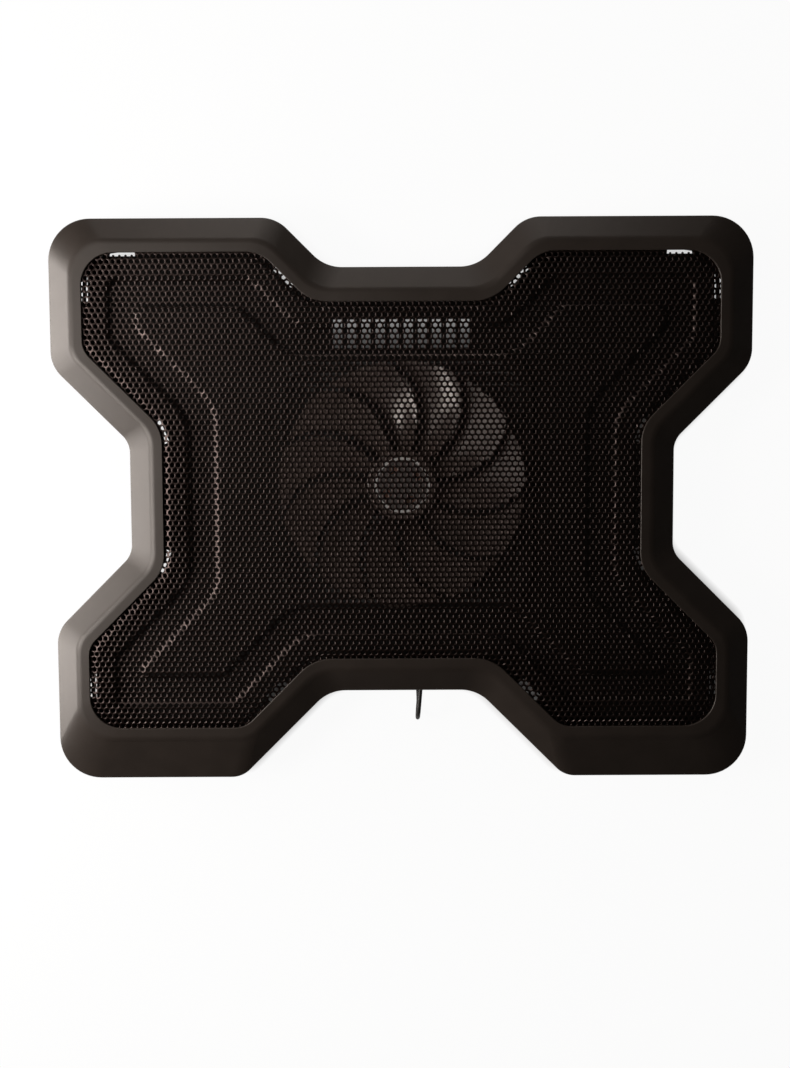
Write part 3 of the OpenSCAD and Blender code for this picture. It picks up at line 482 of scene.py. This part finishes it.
def make_rim():
    # Inset from the outline, height and rounding of each corner of the section
    corners = [
        (0.0, Z_PART, 0),
        (0.0, 24.54, 0.9),
        (11.7, 30.6, 9.0),
        (RIM_W, Z_TOP, 0.3),
        (RIM_W, Z_MESH + 0.02, 0.15),
        (12.7, Z_MESH + 0.02, 0),
        (11.76, 28.8, 0),
        (6.92, 25.5, 0),
        (SHELL_T, 23.5, 0.6),
        (SHELL_T, Z_PART, 0),
    ]
    profile = rounded([c[:2] for c in corners], [c[2] for c in corners], SECTION_STEPS, closed=False)
    rows = []
    for d, z in profile:
        rows.append([(x, y, z) for x, y in outline(d, lip_extra(d), CORNER_STEPS)])
    n, m = len(rows[0]), len(rows)
    points = [p for row in rows for p in row]
    faces = []
    for j in range(m):
        for i in range(n):
            i2, j2 = (i + 1) % n, (j + 1) % m
            faces.append((j * n + i, j2 * n + i, j2 * n + i2, j * n + i2))
    weighted(mesh_piece("rim_shell", points, faces, "pad", rim_plastic, ["rim"], 38))


def snap_places():
    h = half_corners(SNAP_INSET, FRONT_LIP)
    # Middle of each arm on the right half, and its turn in degrees
    right = [
        (h[7][0] - 22.2, h[7][1], 0),
        (h[7][0], h[7][1] - 22.4, -90),
        (h[8][0] - 11.4, h[8][1] - 11.4, 45),
        (h[5][0] + 1.2, h[5][1] - 0.5, -112.5),
        (h[4][0] + 1.2, h[4][1] + 0.5, -67.5),
        (h[3][0], (h[2][1] + h[3][1]) / 2 - 1.9, -90),
        (h[1][0] - 15.7, h[1][1] + 15.7, 135),
    ]
    return [(x, y, a, 1) for x, y, a in right] + [(x, y, a, -1) for x, y, a in right]


def to_place(local, place):
    x, y, a, side = place
    c, s = math.cos(math.radians(a)), math.sin(math.radians(a))
    px, py = x + c * local[0] - s * local[1], y + s * local[0] + c * local[1]
    return side * px, py


def make_snaps():
    """Spring arms under the rim, each with a barb that hooks under the tray's floor."""
    m, last = len(SNAP_SIDE), len(SNAP_X) - 1
    points, faces = [], []
    for place in snap_places():
        base = len(points)
        for k, x in enumerate(SNAP_X):
            inset = SNAP_SOFT if k in (0, last) else 0.0
            for y, z in SNAP_SIDE:
                px, py = to_place((x, y - math.copysign(min(abs(y), inset), y)), place)
                points.append((px, py, z))
        loop = []
        for k in range(last):
            a, b = base + k * m, base + (k + 1) * m
            for i in range(m):
                i2 = (i + 1) % m
                loop.append((a + i, a + i2, b + i2, b + i))
        loop.append(tuple(base + i for i in reversed(range(m))))
        loop.append(tuple(base + last * m + i for i in range(m)))
        faces += loop if place[3] > 0 else [tuple(reversed(f)) for f in loop]
    mesh_piece("rim_snap_arms", points, faces, "pad", rim_plastic, ["rim"], 30)


make_rim()
make_snaps()


# Deck: one sheet with hexagonal holes, pressed down in a groove round its raised middle
PITCH = 3.0
WEB = 1.12
DECK_T = 0.6
DECK_RISE = 0.6
EDGE_DROP = 0.7
EDGE_W = 1.8
GROOVE_1 = RIM_W + 12.0
GROOVE_2 = GROOVE_1 + 14.85
GROOVE_DEPTH = 0.95
BEND_W = 1.7
WEB_ROUND = 0.03
SHOULDER = 0.22
EDGE_ROUND = 0.21
CUT_X = 134.8
CUT_HALF = 6.4
ROW_SHIFT = 0.45
CUT_Y = 120.0 + ROW_SHIFT
SHEET_INSET = 14.9
EDGE_INSET = RIM_W + 1.4
ROWS = 48
COLUMNS = 60
LINE_STEPS = 8
MIDDLE_MARGIN = 2


def deck_height(p):
    """Height of the sheet's top: low under the rim, down in the groove, level in between."""
    d1 = inside_depth(p, groove_line(GROOVE_1))
    d2 = inside_depth(p, groove_line(GROOVE_2))
    drop = smooth(d1 / BEND_W) * (1 - smooth((d2 + BEND_W) / BEND_W))
    edge = inside_depth(p, outline(EDGE_INSET, FRONT_LIP, LINE_STEPS))
    return Z_MESH + DECK_RISE - GROOVE_DEPTH * drop - EDGE_DROP * (1 - smooth(edge / EDGE_W))


def deck_cells():
    row = PITCH * math.sqrt(3) / 2
    cells = []
    for j in range(-ROWS, ROWS + 1):
        for i in range(-COLUMNS, COLUMNS + 1):
            cells.append(((i + (0.5 if j % 2 else 0.0)) * PITCH, j * row + ROW_SHIFT))
    cells = np.array(cells)
    return cells[inside_depth(cells, outline(SHEET_INSET, FRONT_LIP, LINE_STEPS)) > -1.0]


def deck_piece(name, cells, stands_for):
    outer_r, inner_r = PITCH / math.sqrt(3), (PITCH - WEB) / math.sqrt(3)
    shoulder_r = inner_r + SHOULDER * 2 / math.sqrt(3)
    angles = np.radians(30 + 60 * np.arange(6))
    ring = np.c_[np.cos(angles), np.sin(angles)]
    index, flat, quads = {}, [], []

    def vertex(x, y):
        key = (round(x, 3), round(y, 3))
        if key not in index:
            index[key] = len(flat)
            flat.append((x, y))
        return index[key]

    for cx, cy in cells:
        out = [vertex(cx + outer_r * a, cy + outer_r * b) for a, b in ring]
        rise = [vertex(cx + shoulder_r * a, cy + shoulder_r * b) for a, b in ring]
        hole = [vertex(cx + inner_r * a, cy + inner_r * b) for a, b in ring]
        for k in range(6):
            k2 = (k + 1) % 6
            quads.append((out[k], out[k2], rise[k2], rise[k], hole[k2], hole[k]))
    flat = np.array(flat)
    # The sheet's edge under the rim, and the two straight notches in its rear edge
    mids = flat[np.array(quads)[:, [0, 1, 4, 5]]].mean(axis=1)
    keep = inside_depth(mids, outline(SHEET_INSET, FRONT_LIP, LINE_STEPS)) > 0
    keep &= ~((np.abs(np.abs(mids[:, 0]) - CUT_X) < CUT_HALF) & (mids[:, 1] > CUT_Y))
    quads = [q for q, k in zip(quads, keep) if k]
    used = np.unique(np.array(quads))
    renumber = np.full(len(flat), -1)
    renumber[used] = np.arange(len(used))
    flat = flat[used]
    quads = [tuple(int(renumber[i]) for i in q) for q in quads]
    z = deck_height(flat)
    n = len(flat)
    # Each web is a little higher along its middle, and its edges are rounded down into the holes
    low = np.zeros(n)
    low[[i for q in quads for i in q[2:4]]] = WEB_ROUND
    low[[i for q in quads for i in q[4:]]] = WEB_ROUND + EDGE_ROUND
    points = np.r_[np.c_[flat, z - low], np.c_[flat, z - DECK_T]]
    faces = [q[:4] for q in quads] + [(q[3], q[2], q[4], q[5]) for q in quads]
    quads = [q[:2] + q[4:] for q in quads]
    faces += [tuple(i + n for i in reversed(q)) for q in quads]
    edges = {}
    for q in quads:
        for a, b in zip(q, q[1:] + q[:1]):
            edges[(a, b)] = True
    for a, b in edges:
        if (b, a) not in edges:
            faces.append((b, a, a + n, b + n))
    mesh_piece(name, points, faces, "pad", deck_paint, stands_for, 40)


def make_deck():
    cells = deck_cells()
    middle = inside_depth(cells, groove_line(GROOVE_2)) > MIDDLE_MARGIN
    deck_piece("deck_border", cells[~middle], ["mesh_panel"])
    deck_piece("deck_middle", cells[middle], ["mesh_panel"])


make_deck()


# Impeller: cambered blades with thinned edges on a rounded hub
BLADES = 11
BLADE_SWEEP = 26.0
BLADE_GAP = 4.6
BLADE_RISE = 7.6
BLADE_T = 1.3
BLADE_TOP = 22.8
BLADE_START = 4
BLADE_CAMBER = 0.12
BLADE_ROWS = 20
BLADE_COLUMNS = 14
ROOT_LAP = 0.8
EDGE_THIN = 0.32
EDGE_FROM = 0.7
TIP_THIN = 0.2
TIP_FROM = 0.94
HUB_STEPS = 96
# Radius, height and rounding of each corner of the hub's section
HUB_SECTION = [
    (15.52, 13.6, 0),
    (HUB_R, 13.6, 0.5),
    (HUB_R, 24.6, 1.2),
    (13.8, 24.6, 0.3),
    (13.8, 24.2, 0),
    (15.52, 24.2, 0),
]


def blade_points(turn, nr, nc):
    pitch = 360 / BLADES
    root = HUB_R - ROOT_LAP
    top, low = [], []
    for i in range(nr + 1):
        s = i / nr
        r = root + (FAN_R - root) * s
        gap = math.degrees(BLADE_GAP / r)
        for j in range(nc + 1):
            c = j / nc
            a = math.radians(turn + BLADE_START + BLADE_SWEEP * s * s + gap / 2 + c * (pitch - gap))
            z = BLADE_TOP - BLADE_T - BLADE_RISE * (c + BLADE_CAMBER * math.sin(math.pi * c))
            thin = EDGE_THIN * BLADE_T * max(0.0, abs(2 * c - 1) - EDGE_FROM) / (1 - EDGE_FROM)
            tip = TIP_THIN * BLADE_T * max(0.0, s - TIP_FROM) / (1 - TIP_FROM)
            x, y = r * math.cos(a), r * math.sin(a) + FAN_Y
            top.append((x, y, z + BLADE_T - thin - tip))
            low.append((x, y, z + thin + tip))
    return top, low


def make_impeller():
    points, faces = [], []
    nr, nc = BLADE_ROWS, BLADE_COLUMNS
    w = nc + 1
    n = (nr + 1) * w
    border = list(range(w)) + [i * w + nc for i in range(1, nr + 1)]
    border += [nr * w + j for j in range(nc - 1, -1, -1)] + [i * w for i in range(nr - 1, 0, -1)]
    for b in range(BLADES):
        base = len(points)
        top, low = blade_points(b * 360 / BLADES, nr, nc)
        points += top + low
        for i in range(nr):
            for j in range(nc):
                a, c = base + i * w + j, base + (i + 1) * w + j
                q = (a, c, c + 1, a + 1)
                faces.append(q)
                faces.append(tuple(k + n for k in reversed(q)))
        for a, c in zip(border, border[1:] + border[:1]):
            faces.append((base + c, base + a, base + a + n, base + c + n))
    line = rounded([h[:2] for h in HUB_SECTION], [h[2] for h in HUB_SECTION], 6, closed=False)
    base = len(points)
    for r, z in line:
        for k in range(HUB_STEPS):
            a = 2 * math.pi * k / HUB_STEPS
            points.append((r * math.cos(a), r * math.sin(a) + FAN_Y, z))
    m = len(line)
    for j in range(m):
        a, c = base + j * HUB_STEPS, base + (j + 1) % m * HUB_STEPS
        for k in range(HUB_STEPS):
            k2 = (k + 1) % HUB_STEPS
            faces.append((a + k, a + k2, c + k2, c + k))
    obj = mesh_piece("impeller_moulding", points, faces, "rotor", fan_plastic, ["impeller"])
    weighted(obj)


make_impeller()


# CAD nodes that keep their shape: softened edges and their own materials
MERGE_WITHIN = 0.000002
SMOOTH_BELOW = math.radians(30)
FLAT_BELOW = math.radians(0.5)
BEVEL_ABOVE = math.radians(40)


def soften_group():
    """Merges doubled points and smooths every edge that turns less than a set angle."""
    tree = bpy.data.node_groups.new("soften", "GeometryNodeTree")
    tree.interface.new_socket("Geometry", in_out="INPUT", socket_type="NodeSocketGeometry")
    tree.interface.new_socket("Geometry", in_out="OUTPUT", socket_type="NodeSocketGeometry")
    start = tree.nodes.new("NodeGroupInput")
    end = tree.nodes.new("NodeGroupOutput")
    merge = tree.nodes.new("GeometryNodeMergeByDistance")
    merge.inputs["Distance"].default_value = MERGE_WITHIN
    faces = tree.nodes.new("GeometryNodeSetShadeSmooth")
    edges = tree.nodes.new("GeometryNodeSetShadeSmooth")
    edges.domain = "EDGE"
    angle = tree.nodes.new("GeometryNodeInputMeshEdgeAngle")
    less = tree.nodes.new("FunctionNodeCompare")
    less.operation = "LESS_THAN"
    less.inputs[1].default_value = SMOOTH_BELOW
    tree.links.new(angle.outputs["Unsigned Angle"], less.inputs[0])
    tree.links.new(less.outputs["Result"], edges.inputs["Shade Smooth"])
    tree.links.new(start.outputs[0], merge.inputs["Geometry"])
    tree.links.new(merge.outputs["Geometry"], faces.inputs["Geometry"])
    tree.links.new(faces.outputs["Geometry"], edges.inputs["Geometry"])
    tree.links.new(edges.outputs["Geometry"], end.inputs[0])
    return tree


soften = soften_group()


def dress(name, mat, edge=0.0):
    """A CAD node with its own material and, where it helps, rounded edges in millimetres."""
    obj = nodes[name]
    if not obj.data.materials:
        obj.data.materials.append(mat)
    for spot in obj.material_slots:
        spot.material = mat
    mod = obj.modifiers.new("soften", "NODES")
    mod.node_group = soften
    if edge:
        flat = obj.modifiers.new("flat_faces", "DECIMATE")
        flat.decimate_type = "DISSOLVE"
        flat.angle_limit = FLAT_BELOW
        bevel = obj.modifiers.new("rounded_edges", "BEVEL")
        bevel.width = edge * MM
        bevel.segments = 2
        bevel.limit_method = "ANGLE"
        bevel.angle_limit = BEVEL_ABOVE
        bevel.use_clamp_overlap = True
        bevel.harden_normals = True


for name, mat, edge in [
    ("base_tray", tray_plastic, 0.0),
    ("intake_grille", grille_plastic, 0.0),
    ("grille_screws", dark_steel, 0.12),
    ("bearing_tube", brass, 0.0),
    ("bearing_sleeve", brass, 0.0),
    ("motor_board", board, 0.0),
    ("stator_core", laminate, 0.0),
    ("stator_bobbin", bobbin, 0.0),
    ("stator_coils", copper, 0.3),
    ("fan_shaft", steel, 0.1),
    ("shaft_clip", clip_white, 0.0),
    ("rotor_yoke", yoke_steel, 0.25),
    ("rotor_magnet", magnet, 0.0),
    ("hub_label", label_film, 0.0),
    ("foot_front_left", rubber, 0.6),
    ("foot_front_right", rubber, 0.6),
    ("foot_rear_left", rubber, 0.6),
    ("foot_rear_right", rubber, 0.6),
    ("leg_left", tray_plastic, 0.35),
    ("leg_right", tray_plastic, 0.35),
    ("leg_pin_left", steel, 0.2),
    ("leg_pin_right", steel, 0.2),
    ("leg_tip_left", rubber, 0.5),
    ("leg_tip_right", rubber, 0.5),
    ("cord_grommet", rubber, 0.25),
    ("fan_lead", lead_sheath, 0.0),
    ("cord_tie", tie_plastic, 0.25),
    ("usb_plug_body", plug_plastic, 0.5),
    ("usb_plug_shell", plug_metal, 0.0),
    ("usb_plug_insert", plug_white, 0.15),
]:
    dress(name, mat, edge)


# Studio: a white floor, two soft lights at the left, two weak ones at the rear and one below
FLOOR_R = 3000
# Side on which painted light keeps the floor under the pad glowing
LIT_SIDE = (-0.5, 0.87)
LIT_BIAS = 0.15
LIT_SPAN = 0.4
GLOSS_SHARE = 0.25
WORLD_TINT = (1.0, 0.97, 0.94)
WORLD_DIM = 0.02
WARM = (1.0, 0.95, 0.915)
# Rings of the floor: inset from the pad's edge, glow on the dark and on the lit side (painted light
# under the pad's edges), tone of the paper (painted shade, darker deep under the pad)
FLOOR_RINGS = [
    (44, 0.0, 0.0, 0.10),
    (30, 0.0, 0.08, 0.50),
    (20, 0.01, 0.33, 0.86),
    (10, 0.02, 0.85, 0.86),
    (1, 0.25, 0.90, 0.86),
    (-6, 0.95, 0.95, 0.86),
]


def make_floor():
    """White paper that glows for the camera. Under the pad the glow falls away so that the pad's own
    shadow shows, but painted light keeps it glowing under the left and rear edges, and painted shade
    darkens the paper deep under the pad.
    """
    rings = [outline(ring[0], 0, 6) for ring in FLOOR_RINGS]
    far = [FLOOR_R / math.hypot(x, y) for x, y in rings[-1]]
    rings.append([(f * x, f * y) for f, (x, y) in zip(far, rings[-1])])
    n = len(rings[0])
    points = [(x * MM, y * MM, 0) for ring in rings for x, y in ring]
    faces = [tuple(range(n))]
    for j in range(len(rings) - 1):
        for i in range(n):
            i2 = (i + 1) % n
            faces.append((j * n + i, (j + 1) * n + i, (j + 1) * n + i2, j * n + i2))
    mesh = bpy.data.meshes.new("studio_floor")
    mesh.from_pydata(points, [], faces)
    # Painted light: under the pad's left and rear edges, where the lamps stand, the floor's glow is
    # kept high, and under the right and front edges it falls away
    glow_shares_with_painted_light, paper_tones_with_painted_shade = [], []
    for ring, (_, dark, bright, tone) in zip(rings, FLOOR_RINGS + FLOOR_RINGS[-1:]):
        for x, y in ring:
            toward = (LIT_SIDE[0] * x + LIT_SIDE[1] * y) / math.hypot(x, y)
            lit = smooth((toward + LIT_BIAS) / LIT_SPAN)
            glow_shares_with_painted_light.append(dark + (bright - dark) * lit)
            paper_tones_with_painted_shade.append(tone)
    for name, values in (("open", glow_shares_with_painted_light), ("tone", paper_tones_with_painted_shade)):
        mesh.attributes.new(name, "FLOAT", "POINT").data.foreach_set("value", values)
    mat = bpy.data.materials.new("studio_floor")
    mat.use_nodes = True
    tree = mat.node_tree
    tree.nodes.clear()
    out = tree.nodes.new("ShaderNodeOutputMaterial")
    paper = tree.nodes.new("ShaderNodeBsdfDiffuse")
    # The paper's tone read here is painted shade: the paper is darker deep under the pad
    tone = tree.nodes.new("ShaderNodeAttribute")
    tone.attribute_name = "tone"
    tree.links.new(tone.outputs["Fac"], paper.inputs["Color"])
    glow = tree.nodes.new("ShaderNodeEmission")
    glow.inputs["Color"].default_value = (1, 1, 1, 1)
    glow.inputs["Strength"].default_value = 1.0
    rays = tree.nodes.new("ShaderNodeLightPath")
    seen = tree.nodes.new("ShaderNodeMath")
    seen.operation = "MAXIMUM"
    tree.links.new(rays.outputs["Is Camera Ray"], seen.inputs[0])
    tree.links.new(rays.outputs["Is Transmission Ray"], seen.inputs[1])
    gloss = tree.nodes.new("ShaderNodeMath")
    gloss.operation = "MULTIPLY_ADD"
    gloss.inputs[1].default_value = GLOSS_SHARE
    tree.links.new(rays.outputs["Is Glossy Ray"], gloss.inputs[0])
    tree.links.new(seen.outputs[0], gloss.inputs[2])
    # The glow share read here carries painted light under the pad's left and rear edges
    spot = tree.nodes.new("ShaderNodeAttribute")
    spot.attribute_name = "open"
    share = tree.nodes.new("ShaderNodeMath")
    share.operation = "MULTIPLY"
    tree.links.new(gloss.outputs[0], share.inputs[0])
    tree.links.new(spot.outputs["Fac"], share.inputs[1])
    mix = tree.nodes.new("ShaderNodeMixShader")
    tree.links.new(share.outputs[0], mix.inputs["Fac"])
    tree.links.new(paper.outputs[0], mix.inputs[1])
    tree.links.new(glow.outputs[0], mix.inputs[2])
    # From below the paper is clear, so the underside and the folded-out legs can be seen and lit
    facing = tree.nodes.new("ShaderNodeNewGeometry")
    through = tree.nodes.new("ShaderNodeMath")
    through.operation = "MAXIMUM"
    tree.links.new(facing.outputs["Backfacing"], through.inputs[0])
    tree.links.new(rays.outputs["Is Shadow Ray"], through.inputs[1])
    clear = tree.nodes.new("ShaderNodeBsdfTransparent")
    sided = tree.nodes.new("ShaderNodeMixShader")
    tree.links.new(through.outputs[0], sided.inputs["Fac"])
    tree.links.new(mix.outputs[0], sided.inputs[1])
    tree.links.new(clear.outputs[0], sided.inputs[2])
    tree.links.new(sided.outputs[0], out.inputs["Surface"])
    mesh.materials.append(mat)
    obj = bpy.data.objects.new("studio_floor", mesh)
    scene.collection.objects.link(obj)


def area_light(name, place, aim, size, power):
    data = bpy.data.lights.new(name, "AREA")
    data.shape = "RECTANGLE"
    data.size, data.size_y = size
    data.energy = power
    data.color = WARM
    obj = bpy.data.objects.new(name, data)
    obj.location = place
    obj.rotation_euler = (Vector(aim) - Vector(place)).to_track_quat("-Z", "Y").to_euler()
    obj.visible_camera = False
    scene.collection.objects.link(obj)


def make_world():
    world = bpy.data.worlds.new("studio")
    world.use_nodes = True
    scene.world = world
    tree = world.node_tree
    tree.nodes.clear()
    out = tree.nodes.new("ShaderNodeOutputWorld")
    dim = tree.nodes.new("ShaderNodeBackground")
    dim.inputs["Color"].default_value = (*WORLD_TINT, 1)
    dim.inputs["Strength"].default_value = WORLD_DIM
    white = tree.nodes.new("ShaderNodeBackground")
    white.inputs["Color"].default_value = (1, 1, 1, 1)
    white.inputs["Strength"].default_value = 1.0
    rays = tree.nodes.new("ShaderNodeLightPath")
    mix = tree.nodes.new("ShaderNodeMixShader")
    tree.links.new(rays.outputs["Is Camera Ray"], mix.inputs["Fac"])
    tree.links.new(dim.outputs[0], mix.inputs[1])
    tree.links.new(white.outputs[0], mix.inputs[2])
    tree.links.new(mix.outputs[0], out.inputs["Surface"])


make_floor()
make_world()
# Place and aim of each light, its two sizes and its power
area_light("key", (-0.52, 0.01, 0.11), (-0.05, 0.0, 0.02), (0.46, 0.16), 3.85)
area_light("top", (-0.52, -0.06, 0.46), (0.0, 0.02, 0.02), (0.24, 0.17), 2.5)
area_light("rear", (-0.05, 0.75, 0.26), (0.0, 0.0, 0.0), (0.5, 0.14), 0.92)
area_light("rear_high", (-0.33, 0.22, 0.55), (0.0, 0.05, 0.02), (0.38, 0.34), 0.82)
area_light("under", (0.25, -0.45, -0.75), (0.0, 0.0, 0.02), (0.8, 0.8), 5.0)

scene.view_settings.view_transform = "Standard"
